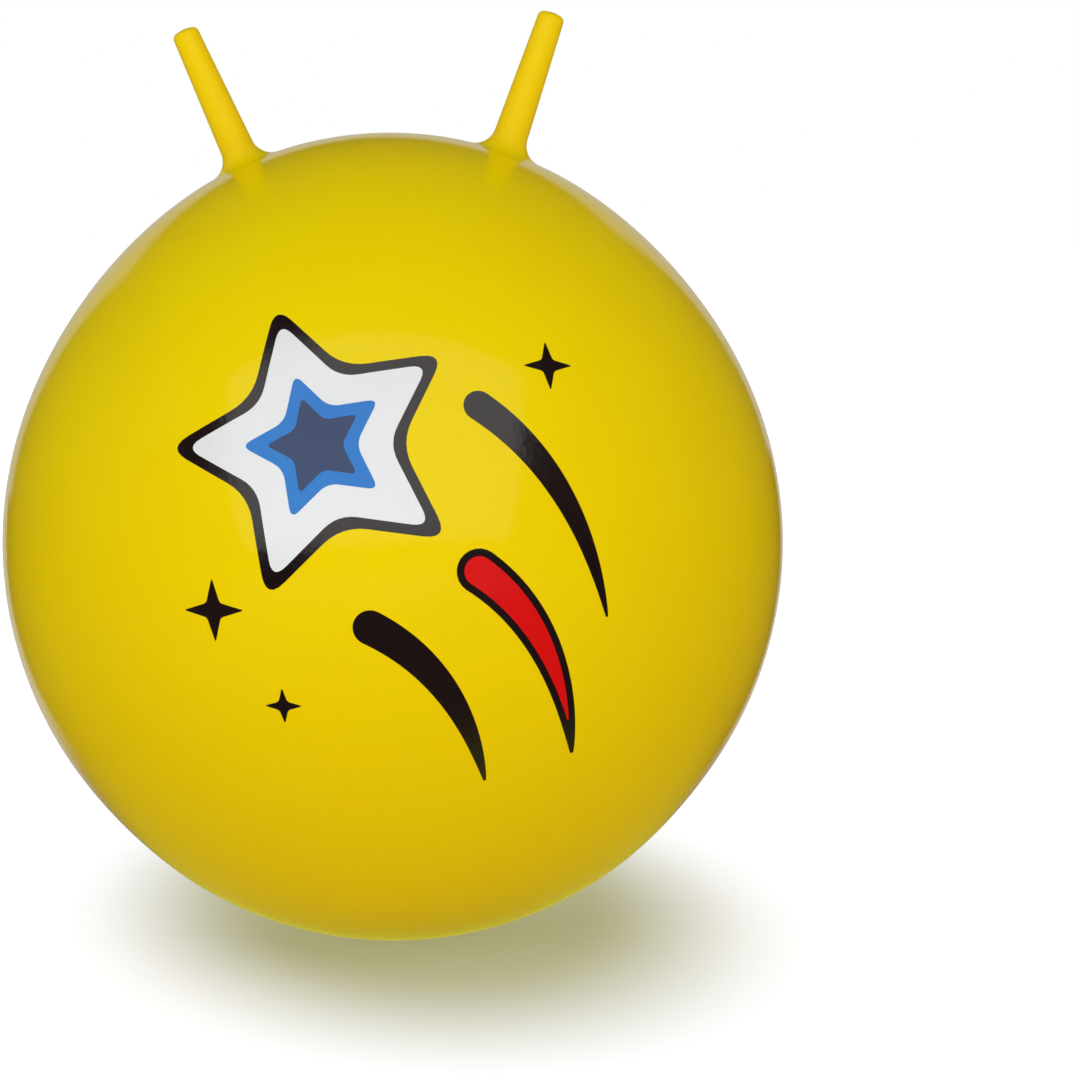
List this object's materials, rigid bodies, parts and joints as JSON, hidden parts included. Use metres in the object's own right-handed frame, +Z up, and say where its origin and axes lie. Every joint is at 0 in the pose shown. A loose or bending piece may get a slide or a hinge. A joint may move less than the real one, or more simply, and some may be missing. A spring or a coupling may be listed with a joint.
{
  "type": "hopper ball",
  "caption": "Air-filled bouncing ball to sit on, slightly taller than wide, with two flexible hollow horn handles on top and a push-in valve plug low on the back.",
  "frame": {"origin": "middle of the flat patch that the ball stands on", "axes": "+Z up through the middle of the ball, X across the two handles, -Y the printed front, +Y the rider's side with the valve low on it"},
  "size_m": [0.4998, 0.4998, 0.5892],
  "materials": {
    "ball_vinyl": "glossy yellow soft vinyl, stretched smooth by the air inside",
    "handle_vinyl": "thicker yellow soft vinyl with a satin gloss, a little warmer than the ball",
    "plug_vinyl": "firm white vinyl"
  },
  "bodies": {
    "ball": {"ball_skin": "ball_vinyl", "left_handle_root": "handle_vinyl", "right_handle_root": "handle_vinyl", "valve_seat": "ball_vinyl"},
    "left_neck": {"left_handle_neck": "handle_vinyl"},
    "left_grip": {"left_handle_grip": "handle_vinyl"},
    "right_neck": {"right_handle_neck": "handle_vinyl"},
    "right_grip": {"right_handle_grip": "handle_vinyl"},
    "plug": {"valve_plug": "plug_vinyl"}
  },
  "joints": [
    {"name": "left_handle_fore_aft", "type": "hinge", "parent": "ball", "child": "left_neck", "pos_m": [-0.08801, 0, 0.51203], "axis": [0.9304, 0, 0.3665], "range_deg": [-20, 20], "stiffness_Nm_per_rad": 2},
    {"name": "left_handle_side", "type": "hinge", "parent": "left_neck", "child": "left_grip", "pos_m": [-0.08801, 0, 0.51203], "axis": [0, 1, 0], "range_deg": [-15, 15], "stiffness_Nm_per_rad": 2},
    {"name": "right_handle_fore_aft", "type": "hinge", "parent": "ball", "child": "right_neck", "pos_m": [0.08801, 0, 0.51203], "axis": [0.9304, 0, -0.3665], "range_deg": [-20, 20], "stiffness_Nm_per_rad": 2},
    {"name": "right_handle_side", "type": "hinge", "parent": "right_neck", "child": "right_grip", "pos_m": [0.08801, 0, 0.51203], "axis": [0, 1, 0], "range_deg": [-15, 15], "stiffness_Nm_per_rad": 2},
    {"name": "valve_plug_pull", "type": "slide", "parent": "ball", "child": "plug", "axis": [0, 0.866, -0.5], "range_m": [0, 0.024]}
  ]
}
